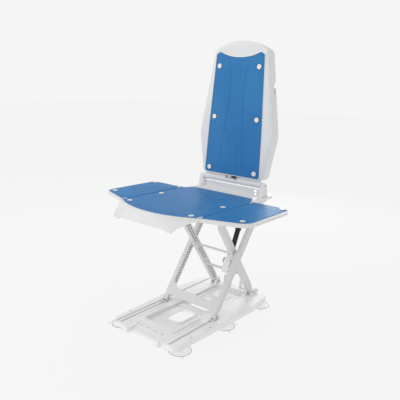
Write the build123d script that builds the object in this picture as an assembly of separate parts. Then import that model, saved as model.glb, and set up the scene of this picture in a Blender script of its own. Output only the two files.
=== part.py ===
from build123d import *
import math
import os

# Reclining scissor bath lift: floor plate on suction cups, two-frame scissor,
# seat with folding side flaps, reclining backrest.  Millimetres, +Z up, the
# user's legs point to -Y, X = 0 is the plane of symmetry.

# ---------------------------------------------------------------- dimensions
ARM_L = 532.0            # pivot to pivot length of a scissor arm
PHI = 54.48              # arm angle above the floor in the raised pose, degrees
PHI_LOW = 2.6            # the same in the lowered pose
ARM_H = 27.0             # depth of the arm section
ARM_T = 18.0             # thickness of the arm section
YF = 283.0               # rear pivot line, y
ZP = 42.0                # height of the lower pivots
XA0, XA1 = 90.0, 108.0   # inner arms
XB0, XB1 = 118.0, 136.0  # outer arms
HOLE_R, HOLE_P = 4.0, 12.5   # recesses in the arms' inner faces
ARM_A = 200.0            # drive pivot on the inner frame, distance from its foot
BAR_A, BAR_D, BAR_T = 152.0, -14.9, 5.5   # crossbar of the inner frame: along, across, radius
BAR_R = 9.0
AXLE_R = 5.0
CUP_R = 43.0
PLATE_Z0, PLATE_Z1 = 10.0, 28.0
PAN_Z = 17.0
SEAT_Z = 501.0           # top of the covers, raised
HINGE_X, HINGE_Z = 188.0, 499.6   # flap hinge line
BACK_Y, BACK_Z = 233.0, 545.0     # backrest hinge line
BACK_TILT = 2.3
ACT_X = 53.0             # drive, sideways offset
HEAD_L, HEAD_R = 12.0, 12.0
ROD_REACH = 283.8        # crossbar centre to push head face, raised
SHIFT_Y = -6.75            # centres the outline on Y = 0

os.makedirs("parts", exist_ok=True)
cph, sph = math.cos(math.radians(PHI)), math.sin(math.radians(PHI))
A_TOP = (YF - ARM_L * cph, ZP + ARM_L * sph)
B_FOOT = (YF - ARM_L * cph, ZP)
B_TOP = (YF, ZP + ARM_L * sph)
CROSS = (YF - ARM_L / 2 * cph, ZP + ARM_L / 2 * sph)


# ------------------------------------------------------------------- helpers
def box(x0, x1, y0, y1, z0, z1):
    return Pos((x0 + x1) / 2, (y0 + y1) / 2, (z0 + z1) / 2) * Box(x1 - x0, y1 - y0, z1 - z0)


def cylx(x0, x1, y, z, r):
    return Pos((x0 + x1) / 2, y, z) * Rot(0, 90, 0) * Cylinder(r, x1 - x0)


def cyly(x, y0, y1, z, r):
    return Pos(x, (y0 + y1) / 2, z) * Rot(90, 0, 0) * Cylinder(r, y1 - y0)


def cylz(x, y, z0, z1, r):
    return Pos(x, y, (z0 + z1) / 2) * Cylinder(r, z1 - z0)


def prism(pts, z0, z1):
    f = make_face(Polyline(*[(x, y, z0) for x, y in pts], close=True))
    return extrude(f, amount=z1 - z0, dir=(0, 0, 1))


def prism_y(pts, y0, y1):
    f = make_face(Polyline(*[(x, y0, z) for x, z in pts], close=True))
    return extrude(f, amount=y1 - y0, dir=(0, 1, 0))


def prism_x(pts, x0, x1):
    f = make_face(Polyline(*[(x0, y, z) for y, z in pts], close=True))
    return extrude(f, amount=x1 - x0, dir=(1, 0, 0))


def round_poly(pts, radii):
    """Closed outline with a rounded corner at every point, as (x, y) points."""
    out = []
    n = len(pts)
    for i, (x, y) in enumerate(pts):
        r = radii[i]
        if r <= 0:
            out.append((x, y))
            continue
        ax, ay = pts[i - 1]
        bx, by = pts[(i + 1) % n]
        la, lb = math.hypot(ax - x, ay - y), math.hypot(bx - x, by - y)
        ua, ub = ((ax - x) / la, (ay - y) / la), ((bx - x) / lb, (by - y) / lb)
        half = math.acos(max(-1, min(1, ua[0] * ub[0] + ua[1] * ub[1]))) / 2
        d = min(r / math.tan(half), 0.49 * la, 0.49 * lb)
        r = d * math.tan(half)
        bis = (ua[0] + ub[0], ua[1] + ub[1])
        lbis = math.hypot(*bis)
        c = (x + bis[0] / lbis * r / math.sin(half), y + bis[1] / lbis * r / math.sin(half))
        p0 = (x + ua[0] * d, y + ua[1] * d)
        p1 = (x + ub[0] * d, y + ub[1] * d)
        a0 = math.atan2(p0[1] - c[1], p0[0] - c[0])
        a1 = math.atan2(p1[1] - c[1], p1[0] - c[0])
        da = (a1 - a0 + math.pi) % (2 * math.pi) - math.pi
        k = max(3, int(abs(da) / math.radians(12)) + 1)
        for j in range(k + 1):
            a = a0 + da * j / k
            out.append((c[0] + r * math.cos(a), c[1] + r * math.sin(a)))
    return out


def inset(pts, d):
    """Moves every edge of a counter-clockwise outline inwards by d."""
    n = len(pts)
    out = []
    for i in range(n):
        p0, p1, p2 = pts[i - 1], pts[i], pts[(i + 1) % n]
        e0 = (p1[0] - p0[0], p1[1] - p0[1])
        e1 = (p2[0] - p1[0], p2[1] - p1[1])
        l0, l1 = math.hypot(*e0), math.hypot(*e1)
        n0, n1 = (-e0[1] / l0, e0[0] / l0), (-e1[1] / l1, e1[0] / l1)
        s = (n0[0] + n1[0], n0[1] + n1[1])
        k = 2 * d / max(0.2, s[0] ** 2 + s[1] ** 2)
        out.append((p1[0] + s[0] * k, p1[1] + s[1] * k))
    return out


def rounded_front(pts, y0, y1, r, steps=5):
    """Extrusion along Y of an (x, z) outline whose edge at y0 is rounded by r."""
    out = None
    rings = []
    for k in range(steps + 1):
        t = math.pi / 2 * k / steps
        rings.append((y0 + r * (1 - math.sin(t)), r * (1 - math.cos(t))))
    rings.reverse()
    for (ya, ia), (yb, ib) in zip(rings, rings[1:]):
        fa = make_face(Polyline(*[(x, ya, z) for x, z in inset(pts, ia)], close=True))
        fb = make_face(Polyline(*[(x, yb, z) for x, z in inset(pts, ib)], close=True))
        st = loft([fa, fb], ruled=True)
        out = st if out is None else out + st
    return out + prism_y(pts, y0 + r, y1)


def chamfered_front(pts, y0, y1):
    """As rounded_front, with a wide shallow bevel round the front face."""
    rings = [(y0, 15.0), (y0 + 1.2, 9.0), (y0 + 3.6, 2.2), (y0 + 5.4, 0.6), (y0 + 7.5, 0.0)]
    out = None
    for (ya, ia), (yb, ib) in zip(rings, rings[1:]):
        fa = make_face(Polyline(*[(x, ya, z) for x, z in inset(pts, ia)], close=True))
        fb = make_face(Polyline(*[(x, yb, z) for x, z in inset(pts, ib)], close=True))
        st = loft([fa, fb], ruled=True)
        out = st if out is None else out + st
    return out + prism_y(pts, rings[-1][0], y1)


def mirror_pts(half):
    """Half outline from the front middle to the rear middle, mirrored in X."""
    left = [(-x, y) for x, y in reversed(half) if x > 1e-6]
    return list(half) + left


def both(shape):
    return shape + mirror(shape, about=Plane.YZ)


def mx(shape):
    return mirror(shape, about=Plane.YZ)


def soften(shape, edges, r):
    """Fillets the edges, or leaves the shape as it is where that can't be built."""
    for k in (1.0, 0.6, 0.3):
        try:
            s = fillet(edges, r * k)
            if s.is_valid and s.volume > 0:
                return s
        except Exception:
            pass
    return shape


PARTS = {}


def put(name, shape):
    PARTS[name] = shape


def group(*shapes):
    solids = []
    for s in shapes:
        solids += list(s.solids())
    return Compound(children=solids)


# ---------------------------------------------------------------------- base
half = [(0, -300), (150, -300), (167, -284), (185, 150), (185, 176), (172, 300), (150, 315), (0, 315)]
base_pts = round_poly(mirror_pts(half), [0, 14, 14, 60, 14, 16, 16, 0, 16, 16, 14, 60, 14, 14])
base_pts = [p for i, p in enumerate(base_pts) if i == 0 or p != base_pts[i - 1]]
RIM_Z = 32.5
base = prism(base_pts, PLATE_Z0, RIM_Z)
base = soften(base, base.faces().sort_by(Axis.Z)[-1].edges(), 3.0)
base -= box(-146.5, 146.5, -400, 400, PLATE_Z1, RIM_Z + 5)
# the front edge between the knuckles is set back and slopes down
base -= box(-66, 66, -310, -293, 0, 60)
base -= prism_x([(-300, 19), (-266, 25.5), (-266, 60), (-300, 60)], -66, 66)
# hollow underside of the side rails, with cross ribs left standing
for y0, y1 in [(-270, -190), (-182, -95), (-87, -45), (40, 100), (108, 175), (183, 232)]:
    w = 172 if y0 > 0 else 158
    for s in (1, -1):
        xs = sorted((s * 96, s * w))
        base -= box(xs[0], xs[1], y0, y1, PLATE_Z0 - 1, PLATE_Z0 + 11)
# sunk pan with a stepped front
base -= prism(round_poly([(-79, -204), (79, -204), (79, 262), (-79, 262)], [14] * 4), PAN_Z, PLATE_Z1 + 1)
base -= prism(round_poly([(-72, -262), (72, -262), (80, -236), (-80, -236)], [6] * 4), 25.5, PLATE_Z1 + 1)
# openings through the pan
FRONT_HOLE = (-38, 38, -134, -26)
REAR_HOLE = (-50, 50, 30, 148)
fx0, fx1, fy0, fy1 = FRONT_HOLE
base += prism(round_poly([(fx0 - 7, fy0 - 7), (fx1 + 7, fy0 - 7), (fx1 + 7, fy1 + 7), (fx0 - 7, fy1 + 7)], [25] * 4), PAN_Z - 1, 22)
for x0, x1, y0, y1 in (FRONT_HOLE, REAR_HOLE):
    base -= prism(round_poly([(x0, y0), (x1, y0), (x1, y1), (x0, y1)], [20] * 4), 0, 40)
# slide tracks
for s in (1, -1):
    base -= box(s * 127 - 6, s * 127 + 6, -290, 8, 24, 30)
    base -= box(s * 104.5 - 1.5, s * 104.5 + 1.5, -268, -70, 26.6, 30)
    base -= box(s * 145 - 1.5, s * 145 + 1.5, -296, 296, 26.0, 30)
    base -= box(s * 93 - 1, s * 93 + 1, -290, -252, 26.6, 30)
# stiffening lips round the pan and a low bridge between the rear pivots
lip = prism(round_poly([(-87.5, -224), (87.5, -224), (87.5, -60), (81.5, -60), (81.5, -207), (-81.5, -207), (-81.5, -60), (-87.5, -60)], [12, 12, 2, 2, 10, 10, 2, 2]), PLATE_Z1 - 1, 32)
base += lip
base += prism(round_poly([(-72, -8), (72, -8), (72, 16), (-72, 16)], [6] * 4), PAN_Z - 1, 20)
bridge = prism(round_poly([(-74, 272), (74, 272), (74, 296), (-74, 296)], [8] * 4), PLATE_Z1 - 1, 34)
base += bridge
for x in (-64, 64):
    base += prism(round_poly([(x - 5, 30), (x + 5, 30), (x + 5, 250), (x - 5, 250)], [4.9] * 4), PAN_Z - 1, 20.5)
base += prism(round_poly([(-44, 170), (44, 170), (44, 240), (-44, 240)], [12] * 4), PAN_Z - 1, 19)
# sockets for the cup stems and the screws
CUPS = [(152, -258), (160, 4), (158, 268)]
for x, y in CUPS:
    for s in (1, -1):
        base += cylz(s * x, y, PLATE_Z0, PLATE_Z0 + 12, 13)
screw_xy = []


def screw_top(x, y):
    if abs(x) > 146.5:
        return RIM_Z
    return 25.5 if abs(x) < 75 and y < -236 else PLATE_Z1


for x, y in [(160, -205), (163, -95), (168, 85), (168, 195), (54, -250), (20, -250)]:
    for s in (1, -1):
        screw_xy.append((s * x, y))
for x, y in screw_xy:
    top = screw_top(x, y)
    base -= cylz(x, y, top - 1.6, top + 1, 3.2)
put("base_plate", base)
ups = []
for s in (1, -1):
    prof = [(-20, PLATE_Z1), (20, PLATE_Z1), (19, 60)] + [(18.5 * math.cos(math.pi * k / 14), 61 + 17 * math.sin(math.pi * k / 14)) for k in range(1, 14)] + [(-19, 60)]
    u = prism_y([(44 * s + x, z) for x, z in prof], 302, 313.5)
    u = soften(u, u.faces().sort_by(Axis.Y)[0].edges() + u.faces().sort_by(Axis.Y)[-1].edges(), 1.5)
    if s > 0:
        win = [(-10, 36), (10, 36), (10, 56)] + [(10 * math.cos(math.pi * k / 12), 56 + 9 * math.sin(math.pi * k / 12)) for k in range(1, 12)] + [(-10, 56)]
        u -= prism_y([(44 + x, z) for x, z in win], 300, 320)
    ups.append(u)
put("rear_uprights", group(*ups))
put("base_screws", group(*[
    cylz(x, y, screw_top(x, y) - 1.6, screw_top(x, y) - 0.4, 3.0)
    - box(x - 2.4, x + 2.4, y - 0.5, y + 0.5, screw_top(x, y) - 0.9, 40)
    for x, y in screw_xy]))
put("track_liners", group(*[box(s * 127 - 5.6, s * 127 + 5.6, -288, 6, 24, 24.8) for s in (1, -1)]))

bump = []
for s in (1, -1):
    b = cylx(s * 80 - 14, s * 80 + 14, -302, 17.5, 12.5)
    b = soften(b, b.edges(), 6.0)
    b -= box(s * 80 - 20, s * 80 + 20, -300, -280, 0, 40)
    bump.append(b)
put("front_bumpers", group(*bump))

cups, stems = [], []
for x, y in CUPS:
    for s in (1, -1):
        prof = [(0, 6), (11, 6), (15, 4.6), (30, 2.6), (CUP_R, 1.2), (CUP_R, 0), (34, 0.0), (30, 1.0), (12, 2.6), (0, 2.8)]
        f = make_face(Polyline(*[(r, 0, z) for r, z in prof], close=True))
        c = revolve(f, Axis.Z, 360)
        for a in ((-40, 1), (-140, 1)) if y < -100 else ((-30, 1), (60, 1)) if y < 100 else ((20, 1), (-50, 1)):
            ang = math.radians(a[0])
            t = Pos((CUP_R + 6) * math.cos(ang), (CUP_R + 6) * math.sin(ang), 1.4) * Rot(0, 0, a[0]) * Box(22, 10, 1.8)
            c += t
        if s < 0:
            c = mx(c)
        cups.append(Pos(s * x, y, 0) * c)
        st = cylz(s * x, y, 6, PLATE_Z0, 9.5)
        st = st + cylz(s * x, y, 7.5, PLATE_Z0 - 0.6, 12)
        stems.append(st)
put("suction_cups", group(*cups))
put("cup_stems", group(*stems))

# rear pivots of the inner frame, each with a tie ring behind it
blocks, fpins = [], []
for s in (1, -1):
    pts = [(YF - 20, PLATE_Z1), (YF + 24, PLATE_Z1), (YF + 12, 46), (YF + 6, 53), (YF - 6, 53), (YF - 12, 46)]
    x_in, x_out = (80.5, 89.3), (108.7, 113.4)
    blk = prism_x(pts, *x_in) + prism_x(pts, *x_out)
    blk += box(80.5, 113.4, YF - 20, YF + 24, PLATE_Z1, 29.4) - box(89.3, 108.7, YF - 17, YF + 17, 28, 40)
    ring = cylx(101, 113.4, YF + 34, 37, 11) + box(101, 113.4, YF + 22, YF + 34, PLATE_Z1, 33)
    ring -= cylx(90, 120, YF + 34, 37, 6)
    ring -= box(90, 120, YF + 20, YF + 60, 0, PLATE_Z1)
    blk += ring
    blk -= cylx(78, 116, YF, ZP, 5.0)
    blk -= box(70, 120, YF + 32.1, YF + 60, 0, PLATE_Z1)
    pin = cylx(78.5, 115.4, YF, ZP, 5.0)
    if s < 0:
        blk, pin = mx(blk), mx(pin)
    blocks.append(blk)
    fpins.append(pin)
put("rear_pivot_blocks", group(*blocks))
put("foot_pivot_pins", group(*fpins))


# -------------------------------------------------------------- scissor arms
def arm_outline(r_foot, r_top, t0, t1, up=0.0):
    """Side view of an arm, (across, along), foot at the origin."""
    h = ARM_H / 2
    pts = []
    for k in range(0, 13):
        a = math.pi + math.pi * k / 12
        pts.append((r_foot * math.cos(a), r_foot * math.sin(a)))
    pts += [(r_foot, t0), (h + up, t0 + 34), (h + up, ARM_L - t1 - 34), (r_top, ARM_L - t1)]
    for k in range(0, 13):
        a = math.pi * k / 12
        pts.append((r_top * math.cos(a), ARM_L + r_top * math.sin(a)))
    pts += [(-r_top, ARM_L - t1), (-h, ARM_L - t1 - 30), (-h, t0 + 30), (-r_foot, t0)]
    clean = []
    for p in pts:
        if not clean or math.dist(p, clean[-1]) > 1e-6:
            clean.append(p)
    return clean


def make_arm(x0, x1, holes, keepouts, notch=None, r_foot=10.0, r_top=10.5, up=0.0):
    """Arm along +Z with its foot pivot at the origin; recessed on its inner face."""
    body = prism_x(arm_outline(r_foot, r_top, 12, 12, up), x0, x1)
    cut = []
    # long flute down the outer face
    flute = prism_x(round_poly([(-7.5, 34), (7.5, 34), (7.5, ARM_L - 34), (-7.5, ARM_L - 34)], [7.4] * 4), x1 - 1.2, x1 + 1)
    body -= flute
    n = int((ARM_L - 56) / HOLE_P)
    for i in range(n + 1):
        for row, off in ((-5.4, 0.0), (5.4, HOLE_P / 2)):
            z = 28 + i * HOLE_P + off
            if z > ARM_L - 26 or any(a < z < b for a, b in keepouts):
                continue
            if notch and row < 0 and notch[0] - 8 < z < notch[1] + 4:
                continue
            cut.append(cylx(x0 - 1, x0 + 11, row, z, HOLE_R))
    body -= cut
    if notch:      # clears the other frame's cross plate when the scissor is closed
        a, b, d = notch
        body -= prism_x([(-16, a - 12), (-d, a), (-d, b), (-16, b + 3)], x0 - 1, x1 + 1)
    for z, r in holes:
        body -= cylx(x0 - 1, x1 + 1, 0, z, r)
    return body


def place(shape, foot, angle):
    return Pos(0, foot[0], foot[1]) * Rot(angle, 0, 0) * shape


LEAN = 90 - PHI
A_FOOT = (YF, ZP)
armA = make_arm(XA0, XA1, [(0, 5.05), (ARM_L / 2, AXLE_R), (ARM_L, 4.0)],
                [(BAR_A - 16, BAR_A + 16), (ARM_L / 2 - 14, ARM_L / 2 + 14), (ARM_L - 82, ARM_L - 58)],
                notch=(442, 519, 5.0), up=3.0)
armB = make_arm(XB0, XB1, [(0, 4.0), (ARM_L / 2, 8.0), (ARM_L, 5.05)],
                [(12, 82), (ARM_L / 2 - 16, ARM_L / 2 + 16)])
armA_r = place(armA, A_FOOT, LEAN)
armB_r = place(armB, B_FOOT, -LEAN)
put("inner_arm_right", mx(armA_r))
put("inner_arm_left", armA_r)
put("outer_arm_right", mx(armB_r))
put("outer_arm_left", armB_r)

# crossbar of the inner frame, flared where it meets the arms
bar = cylx(-XA0, XA0, BAR_D, BAR_A, BAR_T)
put("inner_crossbar", place(bar, A_FOOT, LEAN))
# two cheeks on the crossbar carry the pin the drive swings on
cheek_pts = []
for k in range(0, 13):
    a = math.pi * k / 12
    cheek_pts.append((13.0 * math.cos(a), ARM_A + 13.0 * math.sin(a)))
for k in range(0, 13):
    a = math.pi + math.pi * k / 12
    cheek_pts.append((BAR_D + 9.0 * math.cos(a), BAR_A + 9.0 * math.sin(a)))
cheeks = []
for x in (ACT_X - 25, ACT_X + 21):
    ck = prism_x(cheek_pts, x, x + 4) - cylx(0, 90, BAR_D, BAR_A, BAR_T)
    ck -= cylx(0, 90, 0, ARM_A, 7.0)
    cheeks.append(place(ck, A_FOOT, LEAN))
put("drive_bracket", group(*cheeks))
put("drive_pin", place(cylx(ACT_X - 26.5, ACT_X + 26.5, 0, ARM_A, 7.0), A_FOOT, LEAN))
put("inner_top_bar", place(cylx(-XA0, XA0, 3.2, ARM_L - 70, 7.0), A_FOOT, LEAN))
put("scissor_axle", cylx(-XB1, XB1, CROSS[0], CROSS[1], AXLE_R))
put("slider_pins", group(*[cylx(s * 83.0 if s > 0 else -XA1, s * XA1 if s > 0 else -83.0, A_TOP[0], A_TOP[1], 4.0) for s in (1, -1)]))

# outer frame: low cross plate with rounded gussets, top bar, bushes, shoe pins
P0 = -ARM_H / 2 + 1.0
plate = prism_y([(-XB0, 16), (XB0, 16), (XB0, 70), (-XB0, 70)], P0, P0 + 4.0)
plate -= prism_y(round_poly([(-100, 53), (100, 53), (100, 140), (-100, 140)], [20] * 4), -30, 30)
plate += box(-84, 84, P0, P0 + 10, 16, 19) + box(-84, 84, P0, P0 + 9, 50, 53)
put("outer_cross_plate", place(plate, B_FOOT, -LEAN))
put("outer_top_bar", cylx(-XB0, XB0, B_TOP[0], B_TOP[1], BAR_R))
bushes = []
for s in (1, -1):
    b = cylx(XB0, XB1, CROSS[0], CROSS[1], 8.0) + cylx(XA1 + 0.4, XB0, CROSS[0], CROSS[1], 12.0)
    b -= cylx(100, 140, CROSS[0], CROSS[1], AXLE_R + 0.05)
    bushes.append(b if s > 0 else mx(b))
put("crossing_bushes", group(*bushes))
sp = cylx(XB0 + 2, 143.4, B_FOOT[0], B_FOOT[1], 4.0)
put("shoe_pins", group(sp, mx(sp)))

# shoes that run in the base tracks
shoes = []
yb, zb = B_FOOT
sh = box(116.4, 142.4, yb - 21, yb + 7, 28.3, 31.2)
ck = prism_x(round_poly([(yb - 18, 28.3), (yb + 7, 28.3), (yb + 9, 40), (yb + 6, 51), (yb - 6, 51), (yb - 12, 40)], [2, 2, 6, 6, 6, 6]), 136.5, 142.4)
sh = sh + ck + box(122.5, 131.5, yb - 20, yb + 6, 25.2, 29)
sh -= cylx(130, 150, yb, zb, 4.05)
shoes = [sh, mx(sh)]
put("glide_shoes", group(*shoes))

# slides under the seat
ya, za = A_TOP
sl = box(83.8, 109.2, ya - 14, ya + 8, 488.3, 492.2)
sl += prism_x(round_poly([(ya - 13, 492.2), (ya + 7, 492.2), (ya + 9, 478), (ya + 6, 466), (ya - 6, 466), (ya - 12, 478)], [2, 2, 6, 6, 6, 6]), 83.8, 89.5)
sl -= cylx(80, 95, ya, za, 4.05)
put("seat_sliders", group(sl, mx(sl)))

# ------------------------------------------------------------------- drive
cross_a = (YF - ARM_A * cph, ZP + ARM_A * sph)
dy, dz = B_TOP[0] - cross_a[0], B_TOP[1] - cross_a[1]
ACT_ANGLE = math.degrees(math.atan2(dz, dy))      # of the drive above the floor


def act(shape):
    """Drive pieces are drawn along +Z from the crossbar centre."""
    return Pos(ACT_X, cross_a[0], cross_a[1]) * Rot(ACT_ANGLE - 90, 0, 0) * shape


hs = prism_x(round_poly([(-15.5, -52), (15.5, -52), (15.5, 0), (-15.5, 0)], [9, 9, 0, 0]), -16, 16)
hs += cylx(-16, 16, 0, 0, 15.5)
hs = soften(hs, hs.faces().sort_by(Axis.X)[-1].edges() + hs.faces().sort_by(Axis.X)[0].edges(), 3)
hs += cylz(0, 0, 10, 26, 14.5)
hs -= cylz(0, 0, 13, 30, 12)
hs -= cylx(-30, 30, 0, 0, 7.05)
hs -= cylz(0, 0, -50, -10, 12)
put("motor_housing", act(hs))
put("drive_motor", act(cylz(0, 0, -49.5, -13, 11.8)))
put("housing_screws", group(*[act(Pos(16, y, z) * Rot(0, 90, 0) * (Cylinder(2.6, 1.4, align=(Align.CENTER, Align.CENTER, Align.MIN)))) for y, z in ((-9.5, -42), (9.5, -42), (-9.5, -20), (9.5, -20))]))
tube = cylz(0, 0, 13, 30, 12) + cylz(0, 0, 30, 148, 11.2) - cylz(0, 0, 16, 150, 9.6)
tube += cylz(0, 0, 140, 150, 13.5)
tube -= cylz(0, 0, 130, 152, 9.05)
put("actuator_tube", act(tube))
rod = cylz(0, 0, ROD_REACH - HEAD_L - 134, ROD_REACH - HEAD_L, 9.0)
rod -= cylz(0, 0, ROD_REACH - HEAD_L - 135, ROD_REACH - HEAD_L - 10, 6.4)
put("lift_rod", act(rod))
put("drive_spindle", act(cylz(0, 0, 16, 144, 5.5)))
head = cylz(0, 0, ROD_REACH - HEAD_L, ROD_REACH, HEAD_R)
put("push_head", act(head))

# -------------------------------------------------------------------- seat
TOP = SEAT_Z - 4.0       # top of the shell under the covers
cx0, cy0, R0 = 0.0, 41.0, 337.0       # front edge: arc about (0, 41)
front = []
for k in range(0, 9):
    a = math.radians(-90 + 32.5 * k / 8)
    front.append((cx0 + R0 * math.cos(a), cy0 + R0 * math.sin(a)))
half = front + [(186.6, -236), (186.6, 128), (180, 140), (176, 176), (174, 300), (0, 300)]
seat_pts = mirror_pts(half)
rad = [0] * len(seat_pts)
for i, p in enumerate(seat_pts):
    if abs(abs(p[0]) - 174) < 0.1 and abs(p[1] - 300) < 0.1:
        rad[i] = 26
seat_pts = round_poly(seat_pts, rad)
shell = prism(seat_pts, TOP - 10, TOP + 1.6)
shell -= prism(inset(seat_pts, 5.0), TOP - 11, TOP - 4)
# pocket for the cover
half_pad = [(x * (R0 - 9) / R0, cy0 + (y - cy0) * (R0 - 9) / R0) for x, y in front[:-1]] + [(172, -229), (187, -226), (187, 120), (176, 128), (150, 166), (0, 168)]
pad_pts = mirror_pts(half_pad)
shell -= prism(pad_pts, TOP, TOP + 5)
# ribs under the plate
for y in (-210, -110, -10, 90, 190):
    shell += box(-76, 76, y - 1.5, y + 1.5, TOP - 9, TOP - 3)
for x in (-40, 0, 40):
    shell += box(x - 1.5, x + 1.5, -250, 262, TOP - 9, TOP - 3)
for s in (1, -1):
    for y in (-180, -60, 60):
        shell += box(s * 160 - 22, s * 160 + 22, y - 1.5, y + 1.5, TOP - 9, TOP - 3)
SEAT_STUDS = [(153, -223), (156, -42)]
seat_stud_xy = [(s * x, y) for x, y in SEAT_STUDS for s in (1, -1)]
for x, y in seat_stud_xy:
    shell -= cylz(x, y, TOP - 8, TOP + 3, 3.4)

# flap hinges: two per side, an ear on the seat between two on the flap
EARS = [(-229.0, -213.0), (100.0, 116.0)]
hinge_pins = []
pin_r, ear_r = 1.5, 3.0


def ear(x, y0, y1, z, r, to_x):
    e = Pos(x, (y0 + y1) / 2, z) * Rot(90, 0, 0) * Cylinder(r, y1 - y0)
    xs = sorted((x, to_x))
    return e + box(xs[0], xs[1], y0, y1, z - r, z)


HZ = HINGE_Z
for y0, y1 in EARS:
    for s in (1, -1):
        # clearance in the rim round the hinge, then the seat's ear
        shell -= box(*sorted((s * (HINGE_X - 8.0), s * (HINGE_X + 8))), y0 - 8.5, y1 + 8.5, TOP - 12, TOP + 3)
        shell += ear(s * HINGE_X, y0, y1, HZ, ear_r, s * (HINGE_X - 9))
        shell -= Pos(s * HINGE_X, (y0 + y1) / 2, HZ) * Rot(90, 0, 0) * Cylinder(pin_r, 40)
        hinge_pins.append(Pos(s * HINGE_X, (y0 + y1) / 2, HZ) * Rot(90, 0, 0) * Cylinder(pin_r, y1 - y0 + 14))
put("flap_hinge_pins", group(*hinge_pins))
put("seat_shell", shell)

# front apron: from the rounded front rim down and out to a straight lower edge
def apron_ring(k, grow, wall, z):
    outer, inner = [], []
    for j in range(25):
        t = -1 + 2 * j / 24
        a = math.radians(-90 + 33.0 * t)
        px, py = cx0 + (R0 + grow) * math.cos(a), cy0 + (R0 + grow) * math.sin(a)
        qx, qy = 145.0 * t, -313.0
        x, y = px + (qx - px) * k, py + (qy - py) * k
        nx, ny = -math.cos(a) * (1 - k), -math.sin(a) * (1 - k) + k
        ln = math.hypot(nx, ny)
        outer.append((x, y, z))
        inner.append((x + nx / ln * wall, y + ny / ln * wall, z))
    return make_face(Polyline(*(outer + inner[::-1]), close=True))


rings = [apron_ring(0, 1.4, 1.36, TOP + 1.6), apron_ring(0, 3.4, 3.36, TOP - 1.0), apron_ring(0.03, 3.8, 3.4, TOP - 5),
         apron_ring(0.40, 4.2, 3.8, TOP - 17), apron_ring(0.78, 4.2, 4.0, TOP - 28), apron_ring(1.0, 4.2, 4.0, TOP - 38)]
apron = None
for fa, fb in zip(rings, rings[1:]):
    st = loft([fa, fb], ruled=True)
    apron = st if apron is None else apron + st
for s in (1, -1):
    apron += box(*sorted((s * 116, s * 140)), -312.6, -304, TOP - 44, TOP - 37.5)
put("front_apron", apron)

# slide rails and rear brackets below the shell
rl = box(78.2, 82.9, -267, 0, 471, TOP - 4) + box(110.2, 113.8, -267, 0, 486.5, TOP - 4) + box(78.2, 113.8, -270, -267, 486.5, TOP - 4)
rl -= box(70, 84, -196, -150, 460, 483.5)      # lets the inner frame's top bar through
put("seat_rails", group(rl, mx(rl)))
bk = prism_x(round_poly([(YF - 26, TOP - 4), (YF - 10, 466), (YF, 462.5), (YF + 10, 466), (YF + 12, TOP - 4)], [0, 8, 0, 8, 0]), 136.6, 143)
bk -= cylx(130, 150, YF, B_TOP[1], 5.0)
put("rear_brackets", group(bk, mx(bk)))
pp = cylx(XB0 + 1.5, 145, YF, B_TOP[1], 5.0)
put("seat_pivot_pins", group(pp, mx(pp)))

# covers: closed solids, shaped further as soft goods
pad = prism(inset(pad_pts, 1.2), TOP, SEAT_Z)
pad_cut = [box(*sorted((s * (HINGE_X - 10.0), s * (HINGE_X + 8))), y0 - 9.5, y1 + 9.5, TOP - 2, TOP + 8) for y0, y1 in EARS for s in (1, -1)]
pad -= pad_cut
for x, y in seat_stud_xy:
    pad -= cylz(x, y, TOP - 3, SEAT_Z + 3, 3.4)
put("seat_pad", pad)


def stud(x, y, z, ztop):
    s = cylz(x, y, ztop, ztop + 1.9, 10.2)
    s = soften(s, s.edges().group_by(Axis.Z)[-1], 1.4)
    s -= cylz(x, y, ztop + 1.3, ztop + 3, 2.6)
    return s + cylz(x, y, z, ztop, 3.0)


put("seat_studs", group(*[stud(x, y, TOP - 7, SEAT_Z) for x, y in seat_stud_xy]))

# side flaps
flap_half = round_poly([(189.6, -234), (330, -181), (357.5, -150), (357.5, 96), (330, 126), (189.6, 126)], [0, 46, 26, 34, 34, 0])
flap = prism(flap_half, TOP - 10, TOP + 1.6)
flap -= prism(inset(flap_half, 4.0), TOP - 11, TOP - 4)
flap_pad_pts = inset(flap_half, 7.0)
flap_pad_pts = [(189.6 if x < 200 else x, y) for x, y in flap_pad_pts]
flap -= prism([(188.0 if x < 190 else x, y) for x, y in flap_pad_pts], TOP, TOP + 5)
for y in (-150, -60, 30):
    flap += box(200, 346, y - 1.5, y + 1.5, TOP - 9, TOP - 3)
flap += box(268, 271, -180, 118, TOP - 9, TOP - 3)
for y0, y1 in EARS:
    flap -= box(HINGE_X - 8, HINGE_X + 7.5, y0 - 8.5, y1 + 8.5, TOP - 12, TOP + 3)
    for a, b in ((y0 - 7, y0 - 0.4), (y1 + 0.4, y1 + 7)):
        flap += ear(HINGE_X, a, b, HZ, ear_r, HINGE_X + 8.5)
    flap -= Pos(HINGE_X, (y0 + y1) / 2, HZ) * Rot(90, 0, 0) * Cylinder(pin_r + 0.05, 40)
FLAP_STUDS = [(317, -150), (327, 104 - 4)]
fpad = prism([(190.4 if x < 190 else x, y) for x, y in inset(flap_pad_pts, 1.0)], TOP, SEAT_Z)
fpad -= [box(HINGE_X - 9, HINGE_X + 8.8, y0 - 9.5, y1 + 9.5, TOP - 2, TOP + 8) for y0, y1 in EARS]
for x, y in FLAP_STUDS:
    flap -= cylz(x, y, TOP - 8, TOP + 3, 3.4)
    fpad -= cylz(x, y, TOP - 3, SEAT_Z + 3, 3.4)
fst = group(*[stud(x, y, TOP - 7, SEAT_Z) for x, y in FLAP_STUDS])
put("left_flap", flap)
put("left_flap_pad", fpad)
put("left_flap_studs", fst)
put("right_flap", mx(flap))
put("right_flap_pad", mx(fpad))
put("right_flap_studs", group(*[mx(s) for s in fst.solids()]))

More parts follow.
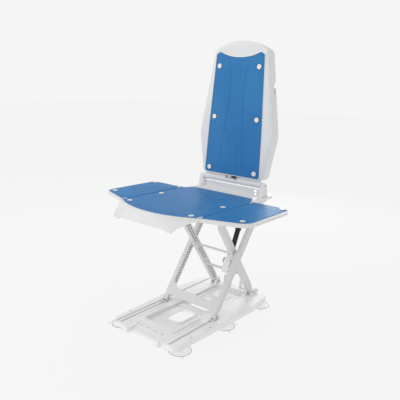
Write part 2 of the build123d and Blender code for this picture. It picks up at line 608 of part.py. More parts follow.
# posts that carry the backrest, and the plain panel between them
post_pts = [(BACK_Y - 22, TOP + 1.6), (BACK_Y + 24, TOP + 1.6), (BACK_Y + 10.5, BACK_Z + 1)]
for k in range(1, 12):
    a = math.pi * k / 12
    post_pts.append((BACK_Y + 10.8 * math.cos(a), BACK_Z + 10.8 * math.sin(a)))
post_pts.append((BACK_Y - 10.5, BACK_Z + 1))
post = prism_x(post_pts, 149.5, 169)
post = soften(post, post.faces().sort_by(Axis.X)[-1].edges(), 2.5)
post -= cylx(140, 175, BACK_Y, BACK_Z, 5.0)
put("hinge_posts", group(post, mx(post)))
panel = box(-147, 147, 214.5, 219, TOP + 1.6, 530.5)
panel += box(-147, 147, 219, 223, TOP + 1.6, TOP + 8)
for s in (1, -1):
    for z0, z1 in ((503, 513), (517, 527)):
        panel -= box(*sorted((s * 124, s * 138)), 208, 228, z0, z1)
panel = soften(panel, panel.edges().filter_by(Axis.X).group_by(Axis.Z)[-1], 1.8)
put("lower_back_panel", panel)
bp = cylx(139, 168, BACK_Y, BACK_Z, 5.0)
put("back_hinge_pins", group(bp, mx(bp)))

# ---------------------------------------------------------------- backrest
YB0, YB1 = 221.0, 271.0
out = [(0, 562), (154, 562), (185.8, 742), (129, 1084)]
arc = []
for k in range(2, 12):
    x = 129 * (1 - k / 12)
    arc.append((x, 1122 - 38 * (x / 129) ** 2))
half = out + arc + [(0, 1122)]
bpts = mirror_pts(half)
r = [0] * len(bpts)
for i, p in enumerate(bpts):
    ax = abs(p[0])
    if abs(ax - 154) < 0.1:
        r[i] = 21
    if abs(ax - 185.8) < 0.1:
        r[i] = 120
    if abs(ax - 129) < 0.1 and abs(p[1] - 1084) < 0.1:
        r[i] = 22
bpts = round_poly(bpts, r)
back = chamfered_front(bpts, YB0, YB1)
back -= prism_y(inset(bpts, 6.0), YB0 + 12, YB1 + 1)
pad_half = [(0, 566.5), (139, 566.5), (142, 575), (136, 762), (120, 1066), (98.5, 1078)]
for k in range(1, 9):
    x = 98.5 * (1 - k / 9)
    pad_half.append((x, 1057 + 21 * (x / 98.5) ** 2))
pad_half.append((0, 1057))
ppts = mirror_pts(pad_half)
r = [0] * len(ppts)
for i, p in enumerate(ppts):
    ax = abs(p[0])
    if abs(ax - 139) < 0.1 or abs(ax - 142) < 0.1:
        r[i] = 12
    if abs(ax - 120) < 0.1 or abs(ax - 98.5) < 0.1 and p[1] > 1070:
        r[i] = 5
ppts = round_poly(ppts, r)
back -= prism_y(ppts, YB0 - 3, YB0 + 2.6)
# ribs inside the hollow back
for z in (640, 740, 840, 940, 1040):
    back += box(-112, 112, YB0 + 10, YB0 + 34, z - 1.5, z + 1.5)
for x in (-60, 0, 60):
    back += box(x - 1.5, x + 1.5, YB0 + 10, YB0 + 34, 585, 1075)
BACK_STUDS = [(98, 1019), (107, 809), (116, 589)]
bstud = [(s * x, z) for x, z in BACK_STUDS for s in (1, -1)]
for x, z in bstud:
    back -= cyly(x, YB0 - 5, YB0 + 12.6, z, 3.4)
# handset notch in each rear edge and the dip for the lever
for s in (1, -1):
    back -= prism_x([(YB1 + 1, 968), (YB1 + 1, 940), (YB1 - 15, 940), (YB1 - 15, 952)], *sorted((s * 138, s * 200)))
    back -= box(*sorted((s * 138, s * 200)), YB1 - 15, YB1 - 9, 914, 942)
back -= box(-30, 30, YB0 - 2, YB0 + 13, 558, 565.6)
cover = prism_y(inset(bpts, 6.8), YB1 - 9, YB1 - 5)
for s in (1, -1):
    cover -= box(*sorted((s * 136, s * 200)), YB1 - 20, YB1, 910, 972)
cover += prism_y(round_poly([(-60, 620), (60, 620), (72, 900), (-72, 900)], [14] * 4), YB1 - 6, YB1 - 3.5)
bpad = prism_y(inset(ppts, 1.0), YB0 - 3.4, YB0 + 2.6)
for x, z in bstud:
    bpad -= cyly(x, YB0 - 9, YB0 + 6, z, 3.4)


def bstud_shape(x, z):
    s = cyly(x, YB0 - 5.3, YB0 - 3.4, z, 10.2)
    s = soften(s, s.edges().group_by(Axis.Y)[0], 1.4)
    s -= cyly(x, YB0 - 7, YB0 - 4.7, z, 2.6)
    return s + cyly(x, YB0 - 3.4, YB0 + 11, z, 3.0)


barrel = cylx(-148.6, 148.6, BACK_Y, BACK_Z, 13.4) - cylx(137, 150, BACK_Y, BACK_Z, 5.05) - cylx(-150, -137, BACK_Y, BACK_Z, 5.05)
web = box(-140, 140, BACK_Y - 5, BACK_Y + 5, BACK_Z + 5, 562) - cylx(-150, 150, BACK_Y, BACK_Z, 12.0)
barrel += web
barrel -= box(-31, 31, BACK_Y - 20, BACK_Y + 1.5, 550.5, 570)


def tilt(shape):
    return Pos(0, BACK_Y, BACK_Z) * Rot(-BACK_TILT, 0, 0) * Pos(0, -BACK_Y, -BACK_Z) * shape


put("backrest_shell", tilt(back))
put("back_rear_cover", tilt(cover))
put("back_pad", tilt(bpad))
put("back_studs", group(*[tilt(bstud_shape(x, z)) for x, z in bstud]))
put("back_hinge_barrel", tilt(barrel))
# release lever, hung on its own small pin in the dip under the pad
lev = prism_x(round_poly([(YB0 + 2, 563.9), (YB0 + 8.6, 563.9), (YB0 + 9.0, 559), (YB0 + 3, 555.6), (YB0 - 2, 556.2), (YB0 - 2.4, 558.2), (YB0 + 2, 560)], [2, 2, 1, 1, 1, 1, 1]), 6, 22)
lev -= cylx(0, 30, YB0 + 5.5, 561.8, 1.6)
put("release_lever", tilt(lev))
put("lever_pin", tilt(cylx(-28, 29, YB0 + 5.5, 561.8, 1.5)))
guard = prism_x(round_poly([(YB0 + 1, 565.6), (YB0 + 9, 565.6), (YB0 + 9, 559), (YB0 + 1, 557)], [1] * 4), -14, -3) - cylx(-30, 30, YB0 + 5.5, 561.8, 1.55)
put("lever_guide", tilt(guard))

for name, shape in PARTS.items():
    if SHIFT_Y:
        shape = Pos(0, SHIFT_Y, 0) * shape
    export_step(shape, "parts/" + name + ".step")
print(len(PARTS), "nodes; drive angle", round(ACT_ANGLE, 3), "crossbar", [round(v, 2) for v in cross_a],
      "A_top", [round(v, 3) for v in A_TOP], "B_top", [round(v, 3) for v in B_TOP], "cross", [round(v, 3) for v in CROSS])
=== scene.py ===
import math
import bpy
import bmesh
import numpy as np
from mathutils import Vector, Matrix, noise


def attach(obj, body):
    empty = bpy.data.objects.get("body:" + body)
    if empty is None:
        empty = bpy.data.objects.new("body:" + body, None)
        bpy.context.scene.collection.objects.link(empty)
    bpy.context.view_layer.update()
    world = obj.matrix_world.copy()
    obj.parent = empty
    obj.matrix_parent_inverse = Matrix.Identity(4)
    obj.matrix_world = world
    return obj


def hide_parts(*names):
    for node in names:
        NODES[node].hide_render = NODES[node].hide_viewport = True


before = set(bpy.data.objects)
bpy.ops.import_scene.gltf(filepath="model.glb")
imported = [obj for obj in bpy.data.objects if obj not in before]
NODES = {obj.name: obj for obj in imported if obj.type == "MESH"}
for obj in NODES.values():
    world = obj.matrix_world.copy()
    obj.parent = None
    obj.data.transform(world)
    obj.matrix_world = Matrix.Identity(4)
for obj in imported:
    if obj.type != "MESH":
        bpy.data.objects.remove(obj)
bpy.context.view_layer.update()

SY = -0.00675            # the frame's shift in Y
col = bpy.context.scene.collection

# ------------------------------------------------------------------ camera
az, el, ro = math.radians(38.28), math.radians(13.52), math.radians(2.38)
C = Vector((1.201, -1.506 + SY, 0.957))
F = Vector((-math.sin(az) * math.cos(el), math.cos(az) * math.cos(el), -math.sin(el)))
R = Vector((math.cos(az), math.sin(az), 0))
U = R.cross(F)
R2 = math.cos(ro) * R + math.sin(ro) * U
U2 = -math.sin(ro) * R + math.cos(ro) * U
cam = bpy.data.cameras.new("camera")
cam.sensor_width = 36.0
cam.lens = 497.38 / 400 * 36
cam.clip_end = 60
cam_o = bpy.data.objects.new("camera", cam)
m = Matrix(((R2.x, U2.x, -F.x, C.x), (R2.y, U2.y, -F.y, C.y), (R2.z, U2.z, -F.z, C.z), (0, 0, 0, 1)))
cam_o.matrix_world = m
col.objects.link(cam_o)
bpy.context.scene.camera = cam_o


# --------------------------------------------------------------- materials
def srgb(h):
    h = h.lstrip("#")
    out = []
    for i in (0, 2, 4):
        c = int(h[i:i + 2], 16) / 255
        out.append(c / 12.92 if c <= 0.04045 else ((c + 0.055) / 1.055) ** 2.4)
    return out


class Mat:
    """A node tree with a Principled shader and small helpers."""

    def __init__(self, name, rough=0.4, metallic=0.0, spec=0.5, sheen=0.0, coat=0.0, coat_rough=0.1, trans=0.0, ior=1.45, alpha=1.0):
        self.m = bpy.data.materials.new(name)
        self.m.use_nodes = True
        self.nt = self.m.node_tree
        for n in list(self.nt.nodes):
            self.nt.nodes.remove(n)
        self.out = self.nt.nodes.new("ShaderNodeOutputMaterial")
        self.b = self.nt.nodes.new("ShaderNodeBsdfPrincipled")
        self.nt.links.new(self.b.outputs[0], self.out.inputs[0])
        i = self.b.inputs
        i["Roughness"].default_value = rough
        i["Metallic"].default_value = metallic
        i["Specular IOR Level"].default_value = spec
        i["Sheen Weight"].default_value = sheen
        i["Coat Weight"].default_value = coat
        i["Coat Roughness"].default_value = coat_rough
        i["Transmission Weight"].default_value = trans
        i["IOR"].default_value = ior
        i["Alpha"].default_value = alpha
        self.co = self.nt.nodes.new("ShaderNodeTexCoord")
        self.vec = self.co.outputs["Object"]
        self.h = None

    def n(self, kind, **kw):
        nd = self.nt.nodes.new("ShaderNode" + kind)
        for k, v in kw.items():
            setattr(nd, k, v)
        return nd

    def link(self, a, b):
        self.nt.links.new(a, b)

    def noise(self, scale, detail=3.0, rough=0.5, dist=0.0, vec=None):
        nd = self.n("TexNoise")
        nd.inputs["Scale"].default_value = scale
        nd.inputs["Detail"].default_value = detail
        nd.inputs["Roughness"].default_value = rough
        nd.inputs["Distortion"].default_value = dist
        self.link(vec or self.vec, nd.inputs["Vector"])
        return nd.outputs["Fac"]

    def ramp(self, src, stops):
        nd = self.n("ValToRGB")
        e = nd.color_ramp.elements
        while len(e) > len(stops):
            e.remove(e[-1])
        while len(e) < len(stops):
            e.new(1.0)
        for el_, (p, c) in zip(e, stops):
            el_.position = p
            el_.color = (c[0], c[1], c[2], 1.0)
        self.link(src, nd.inputs["Fac"])
        return nd.outputs["Color"]

    def math(self, op, a, b=None, c=None):
        nd = self.n("Math", operation=op)
        for k, v in enumerate((a, b, c)):
            if v is None:
                continue
            if isinstance(v, (int, float)):
                nd.inputs[k].default_value = v
            else:
                self.link(v, nd.inputs[k])
        return nd.outputs[0]

    def mix(self, fac, a, b, mode="MIX"):
        nd = self.n("Mix", data_type="RGBA", blend_type=mode)
        for k, v in ((0, fac), (6, a), (7, b)):
            if isinstance(v, (int, float)):
                nd.inputs[k].default_value = v
            elif isinstance(v, (list, tuple)):
                nd.inputs[k].default_value = (v[0], v[1], v[2], 1.0)
            else:
                self.link(v, nd.inputs[k])
        return nd.outputs[2]

    def color(self, src):
        if isinstance(src, (list, tuple)):
            self.b.inputs["Base Color"].default_value = (src[0], src[1], src[2], 1.0)
        else:
            self.link(src, self.b.inputs["Base Color"])

    def rough(self, src):
        self.link(src, self.b.inputs["Roughness"])

    def bump(self, src, strength=0.2, dist=0.001):
        nd = self.n("Bump")
        nd.inputs["Strength"].default_value = strength
        nd.inputs["Distance"].default_value = dist
        self.link(src, nd.inputs["Height"])
        if self.h is not None:
            self.link(self.h, nd.inputs["Normal"])
        self.h = nd.outputs["Normal"]
        self.link(self.h, self.b.inputs["Normal"])


def plastic(name, c, rough=0.38, spec=0.5, grain=1.0, coat=0.0):
    """Moulded plastic: faint mottling, fine spark-eroded grain, slow sink-mark waviness."""
    m = Mat(name, rough=rough, spec=spec, coat=coat, coat_rough=0.2)
    c = srgb(c)
    lo = [v * 0.955 for v in c]
    m.color(m.ramp(m.noise(9.0, 4.0, 0.55), [(0.3, lo), (0.7, c)]))
    m.rough(m.math("MULTIPLY_ADD", m.noise(60.0, 3.0), 0.12, rough - 0.06))
    m.bump(m.noise(900.0, 2.0, 0.6), 0.10 * grain, 0.0004)
    m.bump(m.noise(14.0, 2.0, 0.4), 0.06 * grain, 0.003)
    return m.m


def coated(name, c, rough=0.34, spec=0.5):
    """Powder-coated metal: orange peel and tiny specks."""
    m = Mat(name, rough=rough, spec=spec)
    c = srgb(c)
    sp = m.ramp(m.noise(420.0, 2.0, 0.7), [(0.32, [v * 0.9 for v in c]), (0.45, c)])
    m.color(m.mix(0.65, sp, m.ramp(m.noise(7.0, 3.0), [(0.3, [v * 0.95 for v in c]), (0.7, c)])))
    m.rough(m.math("MULTIPLY_ADD", m.noise(35.0, 3.0), 0.14, rough - 0.07))
    m.bump(m.noise(520.0, 3.0, 0.5), 0.16, 0.0005)
    return m.m


def steel(name, c, rough=0.32):
    m = Mat(name, rough=rough, metallic=1.0)
    c = srgb(c)
    mp = m.n("Mapping")
    mp.inputs["Scale"].default_value = (30.0, 900.0, 900.0)
    m.link(m.vec, mp.inputs["Vector"])
    fib = m.noise(1.0, 3.0, 0.6, vec=mp.outputs[0])
    m.color(m.ramp(fib, [(0.3, [v * 0.82 for v in c]), (0.7, c)]))
    m.rough(m.math("MULTIPLY_ADD", fib, 0.2, rough - 0.1))
    m.bump(fib, 0.08, 0.0003)
    return m.m


M = {}
M["shell"] = plastic("shell_white", "#e8e8e8", 0.40, spec=0.4, grain=0.6)
# the base's white is set lighter than the shell's white: painted light that lifts the shade falling under the seat
M["base"] = plastic("base_white", "#f6f6f6", 0.46, spec=0.4, grain=0.5)
M["arm"] = coated("arm_white", "#e2e2e2", 0.40, spec=0.4)
M["glide"] = plastic("glide_grey", "#dededd", 0.5, spec=0.4)
M["stud"] = plastic("stud_white", "#f4f1ea", 0.3, grain=0.5)
M["piping"] = plastic("piping_cream", "#f6f2ea", 0.45, grain=0.6)
M["steel"] = steel("brushed_steel", "#b9bbbc")
M["dark"] = plastic("stem_dark", "#1b1c1e", 0.5)
M["blackplastic"] = plastic("black_plastic", "#141416", 0.45)


def tube_black():
    m = Mat("tube_black", rough=0.33, spec=0.5)
    c = srgb("#1c1d1f")
    m.color(m.ramp(m.noise(50.0, 4.0), [(0.3, [v * 0.75 for v in c]), (0.7, [v * 1.15 for v in c])]))
    m.rough(m.math("MULTIPLY_ADD", m.noise(180.0, 3.0), 0.2, 0.24))
    m.bump(m.noise(700.0, 2.0), 0.08, 0.0003)
    return m.m


M["tube"] = tube_black()


def clear_rubber():
    """Clear soft PVC: almost invisible face on, grey where the wall is seen edge on."""
    m = Mat("cup_clear", rough=0.10, spec=0.6, ior=1.4)
    m.color(m.ramp(m.noise(20.0, 3.0), [(0.3, srgb("#74787a")), (0.7, srgb("#8b8f91"))]))
    lw = m.n("LayerWeight")
    lw.inputs["Blend"].default_value = 0.35
    a = m.ramp(lw.outputs["Facing"], [(0.0, (0.05,) * 3), (0.6, (0.10,) * 3), (0.9, (0.85,) * 3)])
    m.link(a, m.b.inputs["Alpha"])
    m.bump(m.noise(220.0, 2.0), 0.08, 0.0004)
    return m.m


M["cup"] = clear_rubber()


def cover_fabric(name, base, deep, light):
    """Coated knit for wet rooms: very fine weave, slow shade changes, faint wear."""
    m = Mat(name, rough=0.50, spec=0.24, sheen=0.0)
    m.b.inputs["Sheen Roughness"].default_value = 0.45
    b, d, l = srgb(base), srgb(deep), srgb(light)
    slow = m.ramp(m.noise(5.0, 3.0, 0.5, 0.3), [(0.25, d), (0.5, b), (0.78, l)])
    # two crossing thread directions
    w1 = m.n("TexWave", wave_type="BANDS", bands_direction="X")
    w2 = m.n("TexWave", wave_type="BANDS", bands_direction="Y")
    w3 = m.n("TexWave", wave_type="BANDS", bands_direction="Z")
    for w in (w1, w2, w3):
        w.inputs["Scale"].default_value = 190.0
        w.inputs["Distortion"].default_value = 0.6
        w.inputs["Detail"].default_value = 1.0
        m.link(m.vec, w.inputs["Vector"])
    wv = m.math("MULTIPLY", m.math("MULTIPLY", w1.outputs["Fac"], m.math("ADD", w2.outputs["Fac"], 0.35)), m.math("ADD", w3.outputs["Fac"], 0.35))
    fine = m.noise(650.0, 3.0, 0.6)
    m.color(m.mix(0.10, slow, m.ramp(wv, [(0.0, [v * 0.72 for v in b]), (0.6, [min(1, v * 1.2) for v in b])])))
    m.rough(m.math("MULTIPLY_ADD", m.noise(28.0, 4.0), 0.14, 0.40))
    m.bump(m.noise(16.0, 3.0, 0.5), 0.10, 0.002)
    m.bump(wv, 0.16, 0.0005)
    m.bump(fine, 0.08, 0.0003)
    return m.m


M["cover"] = cover_fabric("cover_blue", "#307ab6", "#2b74b0", "#3a84be")


def paint(name, mat):
    o = NODES[name]
    if not o.material_slots:
        o.data.materials.append(None)
    for s in o.material_slots:
        s.link = "OBJECT"
        s.material = mat


TABLE = {
    "base": ["base_plate", "front_bumpers", "rear_pivot_blocks", "motor_housing", "rear_brackets", "rear_uprights"],
    "arm": ["inner_arm_right", "inner_arm_left", "inner_crossbar", "drive_bracket", "scissor_axle", "inner_top_bar", "outer_arm_right", "outer_arm_left", "outer_cross_plate", "outer_top_bar"],
    "shell": ["seat_shell", "front_apron", "hinge_posts", "lower_back_panel", "left_flap", "right_flap", "backrest_shell", "back_rear_cover", "back_hinge_barrel", "lever_guide"],
    "glide": ["track_liners", "glide_shoes", "seat_sliders", "seat_rails", "crossing_bushes"],
    "steel": ["base_screws", "foot_pivot_pins", "drive_pin", "slider_pins", "shoe_pins", "drive_motor", "housing_screws", "drive_spindle", "seat_pivot_pins", "back_hinge_pins", "flap_hinge_pins", "lever_pin"],
    "stud": ["seat_studs", "left_flap_studs", "right_flap_studs", "back_studs"],
    "tube": ["actuator_tube", "lift_rod"],
    "blackplastic": ["push_head", "release_lever"],
    "cup": ["suction_cups"],
    "dark": ["cup_stems"],
}
for k, names in TABLE.items():
    for nme in names:
        paint(nme, M[k])


# ------------------------------------------------------------ cover meshes
def smoothstep(a, b, x):
    t = np.clip((x - a) / (b - a), 0, 1)
    return t * t * (3 - 2 * t)


def loop_dist(px, py, poly):
    """Distance of points to a closed outline (numpy, metres)."""
    d = np.full(px.shape, 1e9)
    n = len(poly)
    for i in range(n):
        ax, ay = poly[i]
        bx, by = poly[(i + 1) % n]
        vx, vy = bx - ax, by - ay
        L2 = vx * vx + vy * vy + 1e-18
        t = np.clip(((px - ax) * vx + (py - ay) * vy) / L2, 0, 1)
        d = np.minimum(d, np.hypot(px - ax - t * vx, py - ay - t * vy))
    return d


def line_dist(px, py, pts):
    d = np.full(px.shape, 1e9)
    for (ax, ay), (bx, by) in zip(pts, pts[1:]):
        vx, vy = bx - ax, by - ay
        L2 = vx * vx + vy * vy + 1e-18
        t = np.clip(((px - ax) * vx + (py - ay) * vy) / L2, 0, 1)
        d = np.minimum(d, np.hypot(px - ax - t * vx, py - ay - t * vy))
    return d


def grid_cover(name, gx, gy, height, base, to3):
    """Closed cover from a (rows, cols) grid of plane coordinates, a top height and a back height."""
    rows, cols = gx.shape
    verts, faces = [], []
    for i in range(rows):
        for j in range(cols):
            verts.append(to3(gx[i, j], gy[i, j], height[i, j]))
    off = rows * cols
    for i in range(rows):
        for j in range(cols):
            verts.append(to3(gx[i, j], gy[i, j], base))
    idx = lambda i, j: i * cols + j
    for i in range(rows - 1):
        for j in range(cols - 1):
            faces.append((idx(i, j), idx(i, j + 1), idx(i + 1, j + 1), idx(i + 1, j)))
            faces.append((off + idx(i, j), off + idx(i + 1, j), off + idx(i + 1, j + 1), off + idx(i, j + 1)))
    ring = [(0, j) for j in range(cols)] + [(i, cols - 1) for i in range(1, rows)] + [(rows - 1, j) for j in range(cols - 2, -1, -1)] + [(i, 0) for i in range(rows - 2, 0, -1)]
    for a, b in zip(ring, ring[1:] + ring[:1]):
        ia, ib = idx(*a), idx(*b)
        faces.append((ib, ia, off + ia, off + ib))
    me = bpy.data.meshes.new(name)
    me.from_pydata(verts, [], faces)
    bm = bmesh.new()
    bm.from_mesh(me)
    bmesh.ops.remove_doubles(bm, verts=bm.verts, dist=1e-6)
    bmesh.ops.recalc_face_normals(bm, faces=bm.faces)
    bm.to_mesh(me)
    bm.free()
    for p in me.polygons:
        p.use_smooth = True
    o = bpy.data.objects.new(name, me)
    col.objects.link(o)
    return o


def warp(u, k=0.35):
    """Even steps pulled towards the ends, where the cover rolls over."""
    return (1 - k) * u + k * np.sin(u * math.pi / 2)


def tube_curve(name, pts, r, mat, cyclic=True, res=2):
    cu = bpy.data.curves.new(name, "CURVE")
    cu.dimensions = "3D"
    sp = cu.splines.new("POLY")
    sp.points.add(len(pts) - 1)
    for q, p in zip(sp.points, pts):
        q.co = (p[0], p[1], p[2], 1)
    sp.use_cyclic_u = cyclic
    cu.bevel_depth = r
    cu.bevel_resolution = res
    cu.materials.append(mat)
    o = bpy.data.objects.new(name, cu)
    col.objects.link(o)
    return o


mm = 0.001
HINGE_GAP = 188.0
TOPZ = 0.5010


def arc_front(x, r, corner_x, corner_y):
    return 41 - np.sqrt(np.maximum(r * r - x * x, 0))


# seat cover: rows run from the front edge to the rear edge at constant x
def seat_front(x):
    ax = np.abs(x)
    y = 41 - np.sqrt(np.maximum(328.5 ** 2 - np.minimum(ax, 174) ** 2, 0))
    t = np.clip((ax - 174) / (187.2 - 174), 0, 1)
    return y * (1 - t) + (-229.0) * t + np.where(ax > 174, 0, 0)


def seat_rear(x):
    ax = np.abs(x)
    y = np.where(ax < 148, 167.0, 0)
    t = np.clip((ax - 148) / 28.0, 0, 1)
    sc = 167.0 - 42.0 * (3 * t * t - 2 * t ** 3)
    y = np.where(ax >= 148, sc, y)
    return np.where(ax > 176, 125.0 - (ax - 176) * 0.35, y)


nu, nv = ((150, 170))
u = warp(np.linspace(-1, 1, nu), 0.25)
v = (warp(np.linspace(-1, 1, nv), 0.3) + 1) / 2
XS = u[None, :] * 186.6 + 0 * v[:, None]
yf, yr = seat_front(XS[0]), seat_rear(XS[0])
YS = yf[None, :] * (1 - v[:, None]) + yr[None, :] * v[:, None]
SEAT_STUDS = [(153, -223), (-153, -223), (156, -42), (-156, -42)]
outline = [(x, y) for x, y in zip(XS[0], yf)] + [(x, y) for x, y in zip(XS[0][::-1], yr[::-1])]
edge = loop_dist(XS, YS, outline)
side_edge = 186.6 - np.abs(XS)
rest_edge = np.minimum(np.abs(YS - yf[None, :]), np.abs(yr[None, :] - YS))


def crown(edge_mm, full, roll, rise, span):
    e = np.clip(edge_mm / roll, 0, 1)
    return full * np.sqrt(np.clip(1 - (1 - e) ** 2, 0, 1)) + rise * smoothstep(0, span, edge_mm)


def stud_dips(X, Y, studs, depth=1.5, rad=13):
    h = np.zeros_like(X)
    for sx, sy in studs:
        r = np.hypot(X - sx, Y - sy)
        h -= depth * np.exp(-(r / rad) ** 2)
        h -= 0.5 * np.exp(-((r - 9.6) / 1.6) ** 2)
    return h


def waves(X, Y, amp, scale, seed):
    out = np.zeros_like(X)
    for i in range(X.shape[0]):
        for j in range(X.shape[1]):
            out[i, j] = noise.noise(Vector((X[i, j] * scale, Y[i, j] * scale, seed)))
    return amp * out


H = crown(edge, 3.2, 5.0, 1.5, 60.0)
H += stud_dips(XS, YS, SEAT_STUDS)
H += waves(XS, YS, 0.35, 0.012, 3.1)
# pressed-in crease behind the sitting area
crease = [(-150, 152), (-128, 139), (-76, 109), (-40, 83), (-14, 68), (16, 58), (46, 55), (88, 62), (117, 71)]
dcr = line_dist(XS, YS, crease)
fade = smoothstep(-165, -120, XS) * (1 - smoothstep(70, 120, XS))
H -= 2.0 * fade * np.exp(-(dcr / 4.0) ** 2)
H += 0.8 * fade * np.exp(-((dcr - 11.0) / 6.0) ** 2)
# shallow sag where the user sits
H -= 1.0 * np.exp(-((XS / 105) ** 2 + ((YS + 60) / 110) ** 2))
# hem line
H -= 0.35 * np.exp(-((edge - 9.0) / 1.2) ** 2)
seat_cover = grid_cover("seat_cover", XS * mm, YS * mm + SY, 0.4972 + H * mm, 0.4971, lambda x, y, z: (x, y, z))
seat_cover.data.materials.append(M["cover"])
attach(seat_cover, "seat")
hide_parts("seat_pad")


# flap covers
def flap_front(x):
    y = -233.0 + (x - 189.6) * (53.0 / 140.4) + 7.3
    y = np.where(x > 318, y + 0.5 * (1 - np.sqrt(np.clip(1 - ((x - 318) / 32.8) ** 2, 0, 1))) * 66, y)
    return y


def flap_rear(x):
    y = np.full_like(x, 119.0)
    return np.where(x > 322, 119.0 - 30 * (1 - np.sqrt(np.clip(1 - ((x - 322) / 28.6) ** 2, 0, 1))), y)


for s, side in ((1, "left"), (-1, "right")):
    uu = np.linspace(0, 1, nu)
    xs = 189.9 + (350.4 - 189.9) * (0.75 * uu + 0.25 * np.sin(uu * math.pi / 2))
    X = xs[None, :] + 0 * v[:, None]
    f, r_ = flap_front(xs), flap_rear(xs)
    Y = f[None, :] * (1 - v[:, None]) + r_[None, :] * v[:, None]
    ol = [(x, y) for x, y in zip(xs, f)] + [(x, y) for x, y in zip(xs[::-1], r_[::-1])]
    e = loop_dist(X, Y, ol)
    Hf = crown(e, 3.2, 5.0, 0.9, 50.0)
    Hf += stud_dips(X, Y, [(317, -150), (327, 100)])
    Hf += waves(X, Y, 0.3, 0.014, 7.7 + s)
    Hf -= 0.35 * np.exp(-((e - 9.0) / 1.2) ** 2)
    o = grid_cover(side + "_flap_cover", s * X * mm, Y * mm + SY, 0.4972 + Hf * mm, 0.4971, lambda x, y, z: (x, y, z))
    o.data.materials.append(M["cover"])
    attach(o, side + "_flap")
    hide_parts(side + "_flap_pad")
    ring = [(s * x * mm, y * mm + SY, 0.4990) for x, y in ol]
    ring = ring[0:nu] + ring[nu:2 * nu]
    t = tube_curve(side + "_flap_piping", ring, 0.0011, M["piping"], cyclic=False)
    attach(t, side + "_flap")

ring = [(x * mm, y * mm + SY, 0.4990) for x, y in outline[:nu]]
t = tube_curve("seat_piping_front", ring, 0.0011, M["piping"], cyclic=False)
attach(t, "seat")
ring = [(x * mm, y * mm + SY, 0.4990) for x, y in outline[nu:]]
t = tube_curve("seat_piping_rear", ring, 0.0011, M["piping"], cyclic=False)
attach(t, "seat")

# back cover, in the leaned plane of the backrest
TL = math.radians(2.3)


def back3(x, z, d):
    """x and z in the upright backrest, d towards the front from y = 221 (all metres)."""
    dy, dz = 0.221 - d - 0.233, z - 0.545
    return (x, 0.233 + dy * math.cos(TL) + dz * math.sin(TL) + SY, 0.545 - dy * math.sin(TL) + dz * math.cos(TL))


def back_half_width(z):
    return np.interp(z, [566.5, 575, 762, 1066, 1078], [141.0, 141.4, 135.4, 119.4, 119.0])


def back_top(t):
    """top edge height for t = x / half width at the top."""
    x = np.abs(t) * 119.4
    mid = 1056.5 + 21 * (np.minimum(x, 98.5) / 98.5) ** 2.2
    return np.where(x > 98.5, 1077.5 - 11.5 * ((x - 98.5) / 20.9) ** 1.5, mid)


def back_bottom(t):
    x = np.abs(t) * 141
    return np.where(x > 129, 567.0 + 12 * (1 - np.sqrt(np.clip(1 - ((x - 129) / 12.0) ** 2, 0, 1))), 567.0)


nu2, nv2 = ((130, 230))
ub = warp(np.linspace(-1, 1, nu2), 0.25)
vb = (warp(np.linspace(-1, 1, nv2), 0.2) + 1) / 2
ZB = back_bottom(ub)[None, :] * (1 - vb[:, None]) + back_top(ub)[None, :] * vb[:, None]
XB = ub[None, :] * back_half_width(ZB)
ol = [(XB[0, j], ZB[0, j]) for j in range(nu2)] + [(XB[i, -1], ZB[i, -1]) for i in range(1, nv2)] + [(XB[-1, j], ZB[-1, j]) for j in range(nu2 - 2, -1, -1)] + [(XB[i, 0], ZB[i, 0]) for i in range(nv2 - 2, 0, -1)]
eb = loop_dist(XB, ZB, ol)
BS = [(s * x, z) for x, z in ((98, 1019), (107, 809), (116, 589)) for s in (1, -1)]
HB = crown(eb, 4.2, 7.0, 1.8, 60.0)
HB += stud_dips(XB, ZB, BS, 2.0, 14)
HB += waves(XB, ZB, 0.6, 0.010, 11.3)
# two long soft folds down the back: a valley on the left, a ridge on the right
valley = [(-49, 1040), (-37, 996), (-31, 955), (-37, 857), (-46, 755), (-54, 707), (-54, 647), (-60, 590)]
ridge = [(45, 1055), (33, 994), (24, 953), (27, 909), (35, 763), (50, 588)]
dv, dr = line_dist(XB, ZB, valley), line_dist(XB, ZB, ridge)
endz = smoothstep(570, 640, ZB) * (1 - smoothstep(1000, 1056, ZB))
HB -= 2.6 * (0.3 + 0.7 * endz) * np.exp(-(dv / 5.0) ** 2)
HB += 2.0 * (0.3 + 0.7 * endz) * np.exp(-(dr / 5.0) ** 2)
HB -= 0.8 * endz * np.exp(-((dr - 13) / 8.0) ** 2)
HB -= 0.4 * np.exp(-((eb - 9.0) / 1.2) ** 2)
back_cover = grid_cover("back_cover", XB * mm, ZB * mm, HB * mm - 0.0026, -0.00255, lambda x, z, d: back3(x, z, d))
back_cover.data.materials.append(M["cover"])
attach(back_cover, "backrest")
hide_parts("back_pad")
t = tube_curve("back_piping", [back3(x * mm, z * mm, 0.0006) for x, z in ol], 0.0013, M["piping"])
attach(t, "backrest")

# the moulded sealing bead round each cup, seen as a thin grey line
M["bead"] = plastic("cup_bead", "#7b7e80", 0.35, grain=0.4)
for cx_, cy_ in ((152, -258), (160, 4), (158, 268)):
    for s in (1, -1):
        pts = [(s * cx_ * mm + 0.0424 * math.cos(math.tau * k / 72), cy_ * mm + SY + 0.0424 * math.sin(math.tau * k / 72), 0.0012) for k in range(72)]
        t = tube_curve("cup_bead_%s_%d" % ("left" if s > 0 else "right", cy_ + 300), pts, 0.0007, M["bead"])
        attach(t, "base")

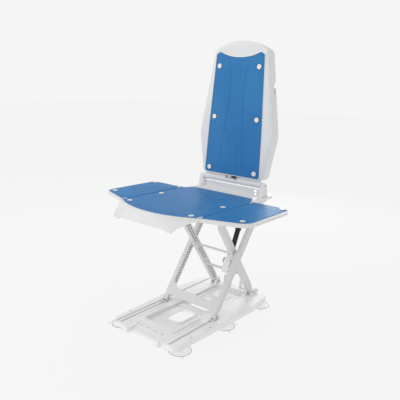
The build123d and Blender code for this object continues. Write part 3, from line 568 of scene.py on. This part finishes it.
# ------------------------------------------------------------------- stage
FLOOR_DIFF = 0.12
AMBIENT = 0.66
bm = bmesh.new()
bmesh.ops.create_grid(bm, x_segments=8, y_segments=8, size=14.0)
me = bpy.data.meshes.new("floor")
bm.to_mesh(me)
bm.free()
floor = bpy.data.objects.new("floor", me)
floor.location = (0, 0, -0.0005)
col.objects.link(floor)
fm = Mat("floor_pale", rough=0.95, spec=0.0)
fm.color(fm.ramp(fm.noise(2.0, 2.0), [(0.3, (0.84, 0.84, 0.84)), (0.7, (0.86, 0.86, 0.86))]))
em = fm.n("Emission")
em.inputs["Color"].default_value = (0.94, 0.94, 0.94, 1)
em.inputs["Strength"].default_value = 1.0
ms = fm.n("MixShader")
ms.inputs[0].default_value = FLOOR_DIFF
fm.link(em.outputs[0], ms.inputs[1])
fm.link(fm.b.outputs[0], ms.inputs[2])
fm.link(ms.outputs[0], fm.out.inputs[0])
floor.data.materials.append(fm.m)

w = bpy.data.worlds.new("world")
bpy.context.scene.world = w
w.use_nodes = True
wn = w.node_tree
bg = wn.nodes["Background"]
bg.inputs[0].default_value = (0.913, 0.913, 0.913, 1)
bg.inputs[1].default_value = 1.0
amb = wn.nodes.new("ShaderNodeBackground")
amb.inputs[0].default_value = (0.98, 0.99, 1.0, 1)
amb.inputs[1].default_value = AMBIENT
lp = wn.nodes.new("ShaderNodeLightPath")
mw = wn.nodes.new("ShaderNodeMixShader")
wn.links.new(lp.outputs["Is Camera Ray"], mw.inputs[0])
wn.links.new(amb.outputs[0], mw.inputs[1])
wn.links.new(bg.outputs[0], mw.inputs[2])
wn.links.new(mw.outputs[0], wn.nodes["World Output"].inputs[0])


def area(name, loc, target, size, power, color=(1, 1, 1)):
    l = bpy.data.lights.new(name, "AREA")
    l.shape = "RECTANGLE"
    l.size, l.size_y = size
    l.energy = power
    l.color = color
    o = bpy.data.objects.new(name, l)
    o.location = loc
    d = Vector(target) - Vector(loc)
    o.rotation_euler = d.to_track_quat("-Z", "Y").to_euler()
    col.objects.link(o)
    return o


area("key", (-2.0, -2.2, 2.6), (0, 0, 0.5), (2.0, 2.0), 22)
area("top", (-0.2, 0.3, 3.2), (0, 0, 0.4), (2.4, 2.4), 12)
fill = area("fill", (-1.3, -2.5, 0.8), (0, 0, 0.1), (2.6, 1.2), 9)
glow = area("glow", (-1.0, 2.2, 1.1), (0.08, 0.08, 0.5), (1.0, 0.6), 12)
for o in (fill, glow):
    o.visible_camera = False
bpy.context.scene.view_settings.view_transform = "Standard"
